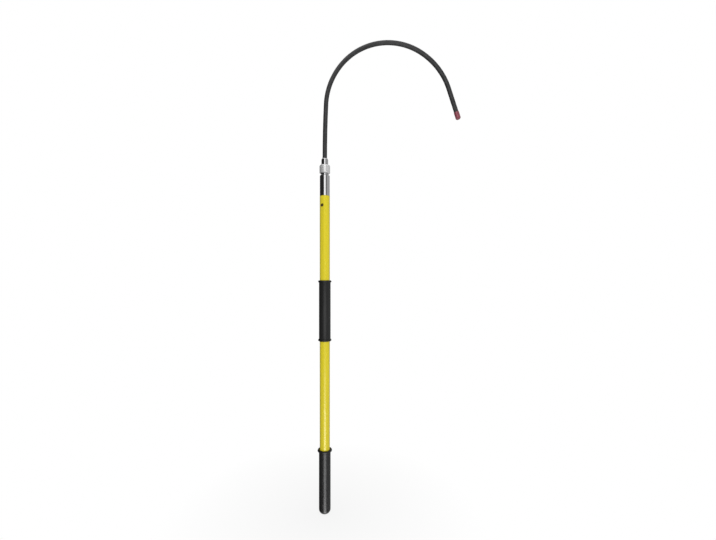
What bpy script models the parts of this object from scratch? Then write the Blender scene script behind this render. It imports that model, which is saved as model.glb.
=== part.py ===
"""Insulated rescue hook: a foam-filled glass-fibre pole with two rubber grips, a metal head with a union nut,
and a sheathed steel rod bent to a wide crook. Metres, +Z up the pole, +X towards the hook's tip, origin at
the centre of the closed lower end. The pole's front, where the hook is seen as a full curve, looks along -Y."""

import math

import bmesh
import bpy
from mathutils import Matrix, Vector

# Clearances
SEAT_GAP = 0.0003
SEAL_GAP = 0.0001

# Fineness of round forms
BODY_STEPS = 36
SMALL_STEPS = 20
ROD_STEPS = 16
CORE_STEPS = 12
WIRE_STEPS = 6
ARC_STEPS = 3
BEND_STEP_DEGREES = 6.0
SPRING_STEPS_PER_TURN = 10
SMOOTH_ANGLE = math.radians(32)
MERGE_DISTANCE = 0.000001

# Pole
POLE_RADIUS = 0.016
POLE_WALL = 0.003
POLE_LENGTH = 1.0001

# Grips
GRIP_WALL = 0.0022
LOWER_GRIP_LENGTH = 0.2034
BUTT_WALL = 0.008
BUTT_ROUNDING = 0.013
LIP_REACH = 0.0045
LIP_THICKNESS = 0.007
MIDDLE_GRIP_HEIGHT = 0.5488
MIDDLE_GRIP_LENGTH = 0.194
RIM_REACH = 0.0027
RIM_THICKNESS = 0.007

# Plug, foam and seal inside the pole
BUTT_FLANGE = 0.003
BUTT_DEPTH = 0.018
BUTT_TAPER = 0.0008
FOAM_SEAL_THICKNESS = 0.004

# Head adapter
SPIGOT_DEPTH = 0.060
BARREL_RADIUS = 0.0157
BARREL_LENGTH = 0.066
BARREL_CHAMFER = 0.0015
NECK_RADIUS = 0.011
NECK_LENGTH = 0.0072
NOSE_RADIUS = 0.0137
NOSE_LENGTH = 0.008
EDGE_CHAMFER = 0.0006
SEAL_WIRE_RADIUS = 0.0009
SEAL_DROP = 0.010

# Snap button
BUTTON_DROP = 0.0305
BUTTON_AZIMUTH = math.radians(28)
BUTTON_RADIUS = 0.0048
BUTTON_STANDOFF = 0.0015
BUTTON_DOME = 0.0012
BUTTON_FLANGE = 0.002
BUTTON_STEM_RADIUS = 0.0024
BUTTON_STEM_LENGTH = 0.005
BUTTON_BORE_RADIUS = 0.0067
BUTTON_BORE_PAST_AXIS = 0.008
RETAINER_THICKNESS = 0.002
SPRING_COIL_RADIUS = 0.0038
SPRING_WIRE_RADIUS = 0.00045
SPRING_TURNS = 6

# Ferrule that carries the hook's rod
FERRULE_SPIGOT_RADIUS = 0.008
FERRULE_SPIGOT_LENGTH = 0.055
FERRULE_FLOOR = 0.004
FLANGE_THICKNESS = 0.004
COLLAR_RADIUS = 0.0107
COLLAR_LENGTH = 0.0344
COLLAR_DOME = 0.0062
COLLAR_LIP = 0.0006
WASHER_THICKNESS = 0.001
INDEX_PIN_RADIUS = 0.0015
INDEX_PIN_DEPTH = 0.005
INDEX_PIN_REACH = 0.003
CROSS_PIN_RADIUS = 0.002
CROSS_PIN_HEIGHT = 0.020
CROSS_PIN_SETBACK = 0.0006

# Coupling nut
NUT_RADIUS = 0.0168
NUT_OVERHANG = 0.0009
NUT_SHOULDER = 0.0108
NUT_CHAMFER = 0.0018
NUT_PLAIN_BAND = 0.0022
KNURL_DEPTH = 0.0006
KNURL_COLUMNS = 52
KNURL_ROWS = 10
NUT_RING_WIRE_RADIUS = 0.0009

# Hook rod and its sheath
CORE_RADIUS = 0.005
SHEATH_WALL = 0.0019
SHEATH_SEAT_DEPTH = 0.012
RISER_LENGTH = 0.0038
RISER_BOW_RADIUS = 3.660
RISER_BOW_TURN = math.radians(2.67)
SHOULDER_BEND_RADIUS = 0.215
SHOULDER_BEND_TURN = math.radians(37.8)
CROWN_BEND_RADIUS = 0.193
CROWN_BEND_TURN = math.radians(80.4)
FALL_BEND_RADIUS = 0.218
FALL_BEND_TURN = math.radians(41.3)
TAIL_LENGTH = 0.103

# End of the rod
CAP_LENGTH = 0.024
CAP_WALL = 0.0006
CAP_END_WALL = 0.005
CAP_ROUNDING = 0.0058
TIP_PLUG_HEAD = 0.002
TIP_PLUG_LENGTH = 0.007

# Radii that follow
POLE_BORE = POLE_RADIUS - POLE_WALL
POLE_FILL_RADIUS = POLE_BORE - SEAT_GAP
GRIP_BORE = POLE_RADIUS + SEAT_GAP
GRIP_RADIUS = GRIP_BORE + GRIP_WALL
SOCKET_RADIUS = FERRULE_SPIGOT_RADIUS + SEAT_GAP
INDEX_PIN_OFFSET = (SOCKET_RADIUS + NOSE_RADIUS) / 2
CORE_BORE = CORE_RADIUS + SEAT_GAP
SHEATH_RADIUS = CORE_BORE + SHEATH_WALL
SHEATH_BORE = SHEATH_RADIUS + SEAT_GAP
CAP_RADIUS = SHEATH_BORE + CAP_WALL

# Heights that follow, from the butt up
PLUG_BOTTOM = BUTT_WALL + SEAT_GAP
POLE_BOTTOM = PLUG_BOTTOM + BUTT_FLANGE + SEAT_GAP
POLE_TOP = POLE_BOTTOM + POLE_LENGTH
BARREL_BOTTOM = POLE_TOP + SEAT_GAP
SPIGOT_BOTTOM = BARREL_BOTTOM - SPIGOT_DEPTH
BUTTON_HEIGHT = POLE_TOP - BUTTON_DROP
BARREL_TOP = BARREL_BOTTOM + BARREL_LENGTH
NOSE_BOTTOM = BARREL_TOP + NECK_LENGTH
NOSE_TOP = NOSE_BOTTOM + NOSE_LENGTH
FLANGE_BOTTOM = NOSE_TOP + SEAT_GAP
FLANGE_TOP = FLANGE_BOTTOM + FLANGE_THICKNESS
FERRULE_BOTTOM = FLANGE_BOTTOM - FERRULE_SPIGOT_LENGTH
COLLAR_TOP = FLANGE_TOP + COLLAR_LENGTH
WASHER_TOP = FLANGE_TOP + SEAT_GAP + WASHER_THICKNESS
SHOULDER_BOTTOM = WASHER_TOP + SEAT_GAP
NUT_BOTTOM = NOSE_BOTTOM - NUT_OVERHANG
NUT_TOP = SHOULDER_BOTTOM + NUT_SHOULDER
NUT_RING_HEIGHT = (SHOULDER_BOTTOM + NUT_TOP) / 2
SHEATH_BOTTOM = COLLAR_TOP - SHEATH_SEAT_DEPTH
CORE_BOTTOM = FERRULE_BOTTOM + FERRULE_FLOOR + SEAT_GAP

# Places along the button's bore, measured outwards from the pole's axis
BUTTON_TIP = POLE_RADIUS + BUTTON_STANDOFF
RETAINER_TOP = math.sqrt(POLE_FILL_RADIUS**2 - BUTTON_BORE_RADIUS**2) - SEAT_GAP
RETAINER_BOTTOM = RETAINER_TOP - RETAINER_THICKNESS
BUTTON_FLANGE_TOP = RETAINER_BOTTOM - SEAT_GAP
BUTTON_FLANGE_BOTTOM = BUTTON_FLANGE_TOP - BUTTON_FLANGE
SPRING_TOP = BUTTON_FLANGE_BOTTOM - SEAT_GAP
SPRING_BOTTOM = SEAT_GAP - BUTTON_BORE_PAST_AXIS


def coat(piece, colour, roughness, metallic=0.0):
    """Give the piece a material of its own."""
    material = bpy.data.materials.new(piece.name)
    material.use_nodes = True
    shader = material.node_tree.nodes["Principled BSDF"]
    shader.inputs["Base Color"].default_value = (*colour, 1.0)
    shader.inputs["Roughness"].default_value = roughness
    shader.inputs["Metallic"].default_value = metallic
    piece.data.materials.append(material)


def finished(name, form):
    """Turn a bmesh into a smooth-shaded object of that name."""
    bmesh.ops.recalc_face_normals(form, faces=form.faces)
    mesh = bpy.data.meshes.new(name)
    form.to_mesh(mesh)
    form.free()
    mesh.shade_smooth()
    mesh.set_sharp_from_angle(angle=SMOOTH_ANGLE)
    piece = bpy.data.objects.new(name, mesh)
    bpy.context.scene.collection.objects.link(piece)
    return piece


def spun(outline, steps):
    """Spin an outline of (radius, height) corners about Z. Corners on the axis close it there."""
    form = bmesh.new()
    corners = [form.verts.new((radius, 0.0, height)) for radius, height in outline]
    sides = []
    for start, end in zip(corners, corners[1:] + corners[:1]):
        if start.co.x > MERGE_DISTANCE or end.co.x > MERGE_DISTANCE:
            sides.append(form.edges.new((start, end)))
    bmesh.ops.spin(
        form,
        geom=corners + sides,
        cent=(0.0, 0.0, 0.0),
        axis=(0.0, 0.0, 1.0),
        angle=math.tau,
        steps=steps,
    )
    bmesh.ops.remove_doubles(form, verts=form.verts, dist=MERGE_DISTANCE)
    return form


def turned(name, outline, steps=BODY_STEPS):
    """A round piece about Z."""
    return finished(name, spun(outline, steps))


def arc(centre_radius, centre_height, radius, start_degrees, end_degrees, height_scale=1.0):
    """Outline corners along an arc, from the outward direction at 0 degrees to straight up at 90."""
    corners = []
    for step in range(ARC_STEPS + 1):
        angle = math.radians(start_degrees + (end_degrees - start_degrees) * step / ARC_STEPS)
        corners.append((
            centre_radius + radius * math.cos(angle),
            centre_height + radius * height_scale * math.sin(angle),
        ))
    return corners


def ring(name, wire_centre_radius, wire_radius, height):
    """A ring of round section about Z."""
    outline = []
    for step in range(WIRE_STEPS):
        angle = math.tau * step / WIRE_STEPS
        outline.append((
            wire_centre_radius + wire_radius * math.cos(angle),
            height + wire_radius * math.sin(angle),
        ))
    return turned(name, outline)


def swept(name, frames, radius, steps):
    """Carry a circle along the frames, each a matrix with its Z along the path, and fill both ends."""
    form = bmesh.new()
    circle = bmesh.ops.create_circle(form, segments=steps, radius=radius, matrix=frames[0])
    loop = list({edge for vert in circle["verts"] for edge in vert.link_edges})
    bmesh.ops.contextual_create(form, geom=loop)
    for before, after in zip(frames, frames[1:]):
        grown = bmesh.ops.extrude_edge_only(form, edges=loop)["geom"]
        moved = {item for item in grown if isinstance(item, bmesh.types.BMVert)}
        bmesh.ops.transform(form, matrix=after @ before.inverted(), verts=list(moved))
        loop = [
            item for item in grown
            if isinstance(item, bmesh.types.BMEdge) and moved.issuperset(item.verts)
        ]
    bmesh.ops.contextual_create(form, geom=loop)
    return finished(name, form)


def path_frame(point, along, across):
    """A matrix at the point with Z along the path and Y across it."""
    side = across.cross(along)
    return Matrix.Translation(point) @ Matrix((side, across, along)).transposed().to_4x4()


def hook_route():
    """The rod's centreline as stretches: length, bend radius (none where straight), turn, start frame."""
    stretches = []
    frame = path_frame(Vector((0.0, 0.0, CORE_BOTTOM)), Vector((0, 0, 1)), Vector((0, 1, 0)))
    riser = COLLAR_TOP + RISER_LENGTH - CORE_BOTTOM
    bends = (
        (RISER_BOW_RADIUS, RISER_BOW_TURN),
        (SHOULDER_BEND_RADIUS, SHOULDER_BEND_TURN),
        (CROWN_BEND_RADIUS, CROWN_BEND_TURN),
        (FALL_BEND_RADIUS, FALL_BEND_TURN),
    )
    stretches.append((riser, None, 0.0, frame))
    frame = frame @ Matrix.Translation((0, 0, riser))
    for radius, turn in bends:
        stretches.append((radius * turn, radius, turn, frame))
        frame = frame @ bend_matrix(radius, turn)
    stretches.append((TAIL_LENGTH, None, 0.0, frame))
    return stretches


def bend_matrix(radius, turn):
    """The step from a bend's start to the place where it has turned that far towards +X."""
    centre = Matrix.Translation((radius, 0, 0))
    return centre @ Matrix.Rotation(turn, 4, "Y") @ centre.inverted()


def hook_frames(start, end):
    """Frames along the rod's route between two distances from its lower end."""
    frames = []
    begun = 0.0
    for length, radius, turn, frame in hook_route():
        low = max(start, begun) - begun
        high = min(end, begun + length) - begun
        if high - low > MERGE_DISTANCE:
            steps = 1
            if radius is not None:
                steps = math.ceil(math.degrees(turn * (high - low) / length) / BEND_STEP_DEGREES)
            for step in range(steps + 1):
                way = low + (high - low) * step / steps
                if radius is None:
                    move = Matrix.Translation((0, 0, way))
                else:
                    move = bend_matrix(radius, way / radius)
                if frames and step == 0:
                    continue
                frames.append(frame @ move)
        begun += length
    return frames


def guide(tool):
    """Mark a piece as a cutter only."""
    tool.hide_render = True
    tool.display_type = "WIRE"
    return tool


def drill(name, radius, length, matrix):
    """A round cutter that starts at the matrix's origin and runs along its Z."""
    form = bmesh.new()
    bmesh.ops.create_cone(
        form,
        cap_ends=True,
        segments=SMALL_STEPS,
        radius1=radius,
        radius2=radius,
        depth=length,
        matrix=matrix @ Matrix.Translation((0, 0, length / 2)),
    )
    return guide(finished(name, form))


def drilled(piece, tool):
    """Cut the tool's form out of the piece."""
    cut = piece.modifiers.new(tool.name, "BOOLEAN")
    cut.operation = "DIFFERENCE"
    cut.solver = "EXACT"
    cut.object = tool


def button_frame(distance):
    """A place on the button's axis, with Z pointing out of the pole."""
    outward = Vector((-math.sin(BUTTON_AZIMUTH), -math.cos(BUTTON_AZIMUTH), 0.0))
    point = Vector((0.0, 0.0, BUTTON_HEIGHT)) + outward * distance
    return path_frame(point, outward, Vector((0, 0, 1)))


def cross_frame(height, distance):
    """A place beside the pole's axis with Z along +Y."""
    return path_frame(Vector((0.0, distance, height)), Vector((0, 1, 0)), Vector((1, 0, 0)))


def make_pole():
    tube = turned("pole_tube", [
        (POLE_RADIUS, POLE_BOTTOM + EDGE_CHAMFER),
        (POLE_RADIUS, POLE_TOP - EDGE_CHAMFER),
        (POLE_RADIUS - EDGE_CHAMFER, POLE_TOP),
        (POLE_BORE, POLE_TOP),
        (POLE_BORE, POLE_BOTTOM),
        (POLE_RADIUS - EDGE_CHAMFER, POLE_BOTTOM),
    ])
    hole_radius = BUTTON_RADIUS + SEAT_GAP
    drilled(tube, drill("button_hole", hole_radius, POLE_RADIUS * 2, button_frame(0.0)))
    coat(tube, (0.70, 0.62, 0.035), 0.35)

    foam_bottom = POLE_BOTTOM + BUTT_DEPTH + SEAT_GAP
    foam_top = SPIGOT_BOTTOM - SEAT_GAP - FOAM_SEAL_THICKNESS - SEAT_GAP
    foam = turned("foam_core", [
        (0.0, foam_bottom),
        (POLE_FILL_RADIUS, foam_bottom),
        (POLE_FILL_RADIUS, foam_top),
        (0.0, foam_top),
    ])
    coat(foam, (0.60, 0.50, 0.30), 0.9)

    seal = turned("foam_seal", [
        (0.0, foam_top + SEAT_GAP),
        (POLE_FILL_RADIUS, foam_top + SEAT_GAP),
        (POLE_FILL_RADIUS, SPIGOT_BOTTOM - SEAT_GAP),
        (0.0, SPIGOT_BOTTOM - SEAT_GAP),
    ])
    coat(seal, (0.12, 0.11, 0.10), 0.6)

    plug = turned("butt_plug", [
        (0.0, PLUG_BOTTOM),
        (POLE_RADIUS - EDGE_CHAMFER, PLUG_BOTTOM),
        (POLE_RADIUS, PLUG_BOTTOM + EDGE_CHAMFER),
        (POLE_RADIUS, PLUG_BOTTOM + BUTT_FLANGE),
        (POLE_FILL_RADIUS, PLUG_BOTTOM + BUTT_FLANGE),
        (POLE_FILL_RADIUS - BUTT_TAPER, POLE_BOTTOM + BUTT_DEPTH),
        (0.0, POLE_BOTTOM + BUTT_DEPTH),
    ])
    coat(plug, (0.05, 0.05, 0.05), 0.5)


def bead(height, thickness, reach):
    """Outline of a rounded collar that stands out from a grip, from its lower root to its upper."""
    edge = thickness / 2
    reach_radius = GRIP_RADIUS + reach - edge
    return arc(reach_radius, height + edge, edge, -90, 0) + arc(reach_radius, height + edge, edge, 0, 90)[1:]


def make_grips():
    lip_bottom = LOWER_GRIP_LENGTH - LIP_THICKNESS
    root = LIP_REACH / 2
    outline = [(0.0, 0.0)]
    outline += arc(GRIP_RADIUS - BUTT_ROUNDING, BUTT_ROUNDING, BUTT_ROUNDING, -90, 0)
    outline += arc(GRIP_RADIUS + root, lip_bottom - root, root, 180, 90)
    outline += bead(lip_bottom, LIP_THICKNESS, LIP_REACH)[1:]
    outline += [
        (GRIP_BORE + EDGE_CHAMFER, LOWER_GRIP_LENGTH),
        (GRIP_BORE, LOWER_GRIP_LENGTH - EDGE_CHAMFER),
        (GRIP_BORE, BUTT_WALL),
        (0.0, BUTT_WALL),
    ]
    lower = turned("lower_grip", outline)
    coat(lower, (0.022, 0.022, 0.022), 0.55)

    bottom = MIDDLE_GRIP_HEIGHT
    top = MIDDLE_GRIP_HEIGHT + MIDDLE_GRIP_LENGTH
    outline = [(GRIP_BORE + EDGE_CHAMFER, bottom)]
    outline += bead(bottom, RIM_THICKNESS, RIM_REACH)
    outline += [(GRIP_RADIUS, bottom + RIM_THICKNESS), (GRIP_RADIUS, top - RIM_THICKNESS)]
    outline += bead(top - RIM_THICKNESS, RIM_THICKNESS, RIM_REACH)
    outline += [
        (GRIP_BORE + EDGE_CHAMFER, top),
        (GRIP_BORE, top - EDGE_CHAMFER),
        (GRIP_BORE, bottom + EDGE_CHAMFER),
    ]
    middle = turned("middle_grip", outline)
    coat(middle, (0.016, 0.016, 0.016), 0.65)


def make_adapter():
    groove_height = BARREL_BOTTOM - SEAL_DROP
    groove_half = SEAL_WIRE_RADIUS + SEAT_GAP
    seal_centre = POLE_BORE - SEAL_GAP - SEAL_WIRE_RADIUS
    groove_floor = seal_centre - SEAL_WIRE_RADIUS - SEAT_GAP
    socket_floor = FERRULE_BOTTOM - SEAT_GAP
    adapter = turned("head_adapter", [
        (0.0, SPIGOT_BOTTOM),
        (POLE_FILL_RADIUS - BARREL_CHAMFER, SPIGOT_BOTTOM),
        (POLE_FILL_RADIUS, SPIGOT_BOTTOM + BARREL_CHAMFER),
        (POLE_FILL_RADIUS, groove_height - groove_half),
        (groove_floor, groove_height - groove_half),
        (groove_floor, groove_height + groove_half),
        (POLE_FILL_RADIUS, groove_height + groove_half),
        (POLE_FILL_RADIUS, BARREL_BOTTOM),
        (BARREL_RADIUS, BARREL_BOTTOM),
        (BARREL_RADIUS, BARREL_TOP - BARREL_CHAMFER),
        (BARREL_RADIUS - BARREL_CHAMFER, BARREL_TOP),
        (NECK_RADIUS, BARREL_TOP),
        (NECK_RADIUS, NOSE_BOTTOM),
        (NOSE_RADIUS - EDGE_CHAMFER, NOSE_BOTTOM),
        (NOSE_RADIUS, NOSE_BOTTOM + EDGE_CHAMFER),
        (NOSE_RADIUS, NOSE_TOP - EDGE_CHAMFER),
        (NOSE_RADIUS - EDGE_CHAMFER, NOSE_TOP),
        (SOCKET_RADIUS + EDGE_CHAMFER, NOSE_TOP),
        (SOCKET_RADIUS, NOSE_TOP - EDGE_CHAMFER),
        (SOCKET_RADIUS, socket_floor),
        (0.0, socket_floor),
    ])
    bore_length = BUTTON_BORE_PAST_AXIS + POLE_RADIUS
    bore_place = button_frame(-BUTTON_BORE_PAST_AXIS)
    drilled(adapter, drill("button_bore", BUTTON_BORE_RADIUS, bore_length, bore_place))
    pin_place = Matrix.Translation((-INDEX_PIN_OFFSET, 0, NOSE_TOP - INDEX_PIN_DEPTH - SEAT_GAP))
    pin_hole_length = INDEX_PIN_DEPTH * 2
    drilled(adapter, drill("index_pin_bore", INDEX_PIN_RADIUS + SEAT_GAP, pin_hole_length, pin_place))
    coat(adapter, (0.62, 0.62, 0.63), 0.12, 1.0)

    seal = ring("adapter_seal", seal_centre, SEAL_WIRE_RADIUS, groove_height)
    coat(seal, (0.02, 0.02, 0.02), 0.5)

    pin = turned("index_pin", [
        (0.0, -INDEX_PIN_DEPTH),
        (INDEX_PIN_RADIUS, -INDEX_PIN_DEPTH),
        (INDEX_PIN_RADIUS, INDEX_PIN_REACH - EDGE_CHAMFER),
        (INDEX_PIN_RADIUS - EDGE_CHAMFER, INDEX_PIN_REACH),
        (0.0, INDEX_PIN_REACH),
    ], SMALL_STEPS)
    pin.location = (-INDEX_PIN_OFFSET, 0.0, NOSE_TOP)
    coat(pin, (0.45, 0.45, 0.46), 0.3, 1.0)


def make_button():
    """The button, its spring and its retainer, each turned about the bore's axis."""
    slide = bpy.data.objects.new("button_slide", None)
    slide.matrix_world = button_frame(0.0)
    bpy.context.scene.collection.objects.link(slide)

    dome_scale = BUTTON_DOME / BUTTON_RADIUS
    outline = [
        (0.0, BUTTON_FLANGE_BOTTOM - BUTTON_STEM_LENGTH),
        (BUTTON_STEM_RADIUS, BUTTON_FLANGE_BOTTOM - BUTTON_STEM_LENGTH),
        (BUTTON_STEM_RADIUS, BUTTON_FLANGE_BOTTOM),
        (BUTTON_BORE_RADIUS - SEAT_GAP, BUTTON_FLANGE_BOTTOM),
        (BUTTON_BORE_RADIUS - SEAT_GAP, BUTTON_FLANGE_TOP),
        (BUTTON_RADIUS, BUTTON_FLANGE_TOP),
    ]
    outline += arc(0.0, BUTTON_TIP - BUTTON_DOME, BUTTON_RADIUS, 0, 90, dome_scale)[:-1]
    outline.append((0.0, BUTTON_TIP))
    button = turned("snap_button", outline, SMALL_STEPS)
    button.parent = slide
    coat(button, (0.03, 0.028, 0.025), 0.4)

    retainer = turned("button_retainer", [
        (BUTTON_BORE_RADIUS - SEAT_GAP, RETAINER_BOTTOM),
        (BUTTON_BORE_RADIUS - SEAT_GAP, RETAINER_TOP),
        (BUTTON_RADIUS + SEAT_GAP, RETAINER_TOP),
        (BUTTON_RADIUS + SEAT_GAP, RETAINER_BOTTOM),
    ], SMALL_STEPS)
    retainer.matrix_world = button_frame(0.0)
    coat(retainer, (0.50, 0.44, 0.25), 0.35, 1.0)

    spring = swept("button_spring", spring_frames(), SPRING_WIRE_RADIUS, WIRE_STEPS)
    spring.matrix_world = button_frame(0.0)
    coat(spring, (0.55, 0.55, 0.56), 0.25, 1.0)


def spring_frames():
    """Frames along the coil, which rises about Z between the bore's floor and the button's flange."""
    low = SPRING_BOTTOM + SPRING_WIRE_RADIUS
    rise = SPRING_TOP - SPRING_WIRE_RADIUS - low
    frames = []
    count = SPRING_TURNS * SPRING_STEPS_PER_TURN
    for step in range(count + 1):
        angle = math.tau * step / SPRING_STEPS_PER_TURN
        outward = Vector((math.cos(angle), math.sin(angle), 0.0))
        point = outward * SPRING_COIL_RADIUS + Vector((0, 0, low + rise * step / count))
        around = Vector((-outward.y, outward.x, rise / (math.tau * SPRING_TURNS * SPRING_COIL_RADIUS)))
        frames.append(path_frame(point, around.normalized(), outward))
    return frames


def make_ferrule(hook):
    """The hook's ferrule, with the washer, the rod's cross pin and the bore for the index pin."""
    dome_radius = COLLAR_RADIUS - SHEATH_BORE - COLLAR_LIP
    dome_scale = COLLAR_DOME / dome_radius
    outline = [
        (0.0, FERRULE_BOTTOM),
        (FERRULE_SPIGOT_RADIUS - EDGE_CHAMFER, FERRULE_BOTTOM),
        (FERRULE_SPIGOT_RADIUS, FERRULE_BOTTOM + EDGE_CHAMFER),
        (FERRULE_SPIGOT_RADIUS, FLANGE_BOTTOM),
        (NOSE_RADIUS - EDGE_CHAMFER, FLANGE_BOTTOM),
        (NOSE_RADIUS, FLANGE_BOTTOM + EDGE_CHAMFER),
        (NOSE_RADIUS, FLANGE_TOP - EDGE_CHAMFER),
        (NOSE_RADIUS - EDGE_CHAMFER, FLANGE_TOP),
        (COLLAR_RADIUS, FLANGE_TOP),
    ]
    outline += arc(COLLAR_RADIUS - dome_radius, COLLAR_TOP - COLLAR_DOME, dome_radius, 0, 90, dome_scale)
    outline += [
        (SHEATH_BORE, COLLAR_TOP),
        (SHEATH_BORE, SHEATH_BOTTOM - SEAT_GAP),
        (CORE_BORE, SHEATH_BOTTOM - SEAT_GAP),
        (CORE_BORE, CORE_BOTTOM - SEAT_GAP),
        (0.0, CORE_BOTTOM - SEAT_GAP),
    ]
    ferrule = turned("hook_ferrule", outline)
    pin_height = FERRULE_BOTTOM + CROSS_PIN_HEIGHT
    through = drill(
        "cross_pin_bore",
        CROSS_PIN_RADIUS + SEAT_GAP,
        FERRULE_SPIGOT_RADIUS * 4,
        cross_frame(pin_height, -FERRULE_SPIGOT_RADIUS * 2),
    )
    drilled(ferrule, through)
    index_bore_start = FLANGE_BOTTOM - INDEX_PIN_REACH
    drilled(ferrule, drill(
        "index_bore",
        INDEX_PIN_RADIUS + SEAT_GAP,
        INDEX_PIN_REACH * 2 + SEAT_GAP,
        Matrix.Translation((-INDEX_PIN_OFFSET, 0, index_bore_start)),
    ))
    coat(ferrule, (0.62, 0.62, 0.63), 0.12, 1.0)

    washer = turned("thrust_washer", [
        (NOSE_RADIUS, FLANGE_TOP + SEAT_GAP),
        (NOSE_RADIUS, WASHER_TOP),
        (COLLAR_RADIUS + SEAT_GAP, WASHER_TOP),
        (COLLAR_RADIUS + SEAT_GAP, FLANGE_TOP + SEAT_GAP),
    ])
    coat(washer, (0.70, 0.68, 0.60), 0.5)

    pin_half = FERRULE_SPIGOT_RADIUS - CROSS_PIN_SETBACK
    pin = turned("ferrule_pin", [
        (0.0, -pin_half),
        (CROSS_PIN_RADIUS - SEAT_GAP, -pin_half),
        (CROSS_PIN_RADIUS, SEAT_GAP - pin_half),
        (CROSS_PIN_RADIUS, pin_half - SEAT_GAP),
        (CROSS_PIN_RADIUS - SEAT_GAP, pin_half),
        (0.0, pin_half),
    ], SMALL_STEPS)
    pin.matrix_world = cross_frame(pin_height, 0.0)
    coat(pin, (0.45, 0.45, 0.46), 0.3, 1.0)

    for piece in (ferrule, washer, pin):
        piece.parent = hook
    return through


def make_hook(hook, cross_bore):
    """The steel rod, its insulating sheath, and the plug and cap that close its end."""
    whole = sum(stretch[0] for stretch in hook_route())
    head_end = whole - CAP_END_WALL - SEAT_GAP
    sheath_end = head_end - TIP_PLUG_HEAD - SEAT_GAP
    core_end = sheath_end - TIP_PLUG_LENGTH

    core = swept("hook_core", hook_frames(0.0, core_end), CORE_RADIUS, CORE_STEPS)
    drilled(core, cross_bore)
    coat(core, (0.50, 0.50, 0.51), 0.3, 1.0)

    sheath_start = SHEATH_BOTTOM - CORE_BOTTOM
    sheath = swept("hook_sheath", hook_frames(sheath_start, sheath_end), SHEATH_RADIUS, ROD_STEPS)
    bore_frames = hook_frames(sheath_start - CORE_RADIUS, sheath_end + CORE_RADIUS)
    drilled(sheath, guide(swept("sheath_bore", bore_frames, CORE_BORE, CORE_STEPS)))
    coat(sheath, (0.03, 0.03, 0.032), 0.45)

    tail_start = hook_route()[-1][3]
    tip_frame = tail_start @ Matrix.Translation((0, 0, TAIL_LENGTH))

    plug_top = head_end - whole
    plug = turned("tip_plug", [
        (0.0, plug_top - TIP_PLUG_HEAD - TIP_PLUG_LENGTH),
        (CORE_RADIUS, plug_top - TIP_PLUG_HEAD - TIP_PLUG_LENGTH),
        (CORE_RADIUS, plug_top - TIP_PLUG_HEAD),
        (SHEATH_RADIUS, plug_top - TIP_PLUG_HEAD),
        (SHEATH_RADIUS, plug_top - EDGE_CHAMFER),
        (SHEATH_RADIUS - EDGE_CHAMFER, plug_top),
        (0.0, plug_top),
    ], SMALL_STEPS)
    plug.matrix_world = tip_frame
    coat(plug, (0.03, 0.03, 0.03), 0.5)

    outline = [
        (SHEATH_BORE, -CAP_LENGTH),
        (CAP_RADIUS, -CAP_LENGTH),
    ]
    outline += arc(CAP_RADIUS - CAP_ROUNDING, -CAP_ROUNDING, CAP_ROUNDING, 0, 90)
    outline += [
        (0.0, 0.0),
        (0.0, -CAP_END_WALL),
        (SHEATH_BORE, -CAP_END_WALL),
    ]
    cap = turned("tip_cap", outline, SMALL_STEPS)
    cap.matrix_world = tip_frame
    coat(cap, (0.42, 0.035, 0.05), 0.35)

    for piece in (core, sheath, plug, cap):
        piece.parent = hook


def knurl(form):
    """Press a diamond knurl into the nut's side: every other point of the grid goes in, and each cell is
    split between its two low points, so that low lines cross and leave pyramids between them."""
    low_edge = NUT_BOTTOM + NUT_PLAIN_BAND
    row_height = (NUT_TOP - NUT_PLAIN_BAND - low_edge) / KNURL_ROWS
    column_angle = math.tau / KNURL_COLUMNS
    side = []
    low_points = set()
    for vert in form.verts:
        if math.hypot(vert.co.x, vert.co.y) < NUT_RADIUS - MERGE_DISTANCE:
            continue
        row = round((vert.co.z - low_edge) / row_height)
        if row < 0 or row > KNURL_ROWS:
            continue
        side.append(vert)
        column = round(math.atan2(vert.co.y, vert.co.x) / column_angle)
        if (row + column) % 2:
            low_points.add(vert)
    side = set(side)
    for vert in low_points:
        vert.co.xy *= 1.0 - KNURL_DEPTH / NUT_RADIUS
    for face in list(form.faces):
        corners = [vert for vert in face.verts if vert in low_points]
        if len(corners) == 2 and side.issuperset(face.verts):
            bmesh.utils.face_split(face, corners[0], corners[1])
    rough = [face for face in form.faces if low_points.intersection(face.verts) and len(face.verts) > 3]
    bmesh.ops.triangulate(form, faces=rough)


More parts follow.
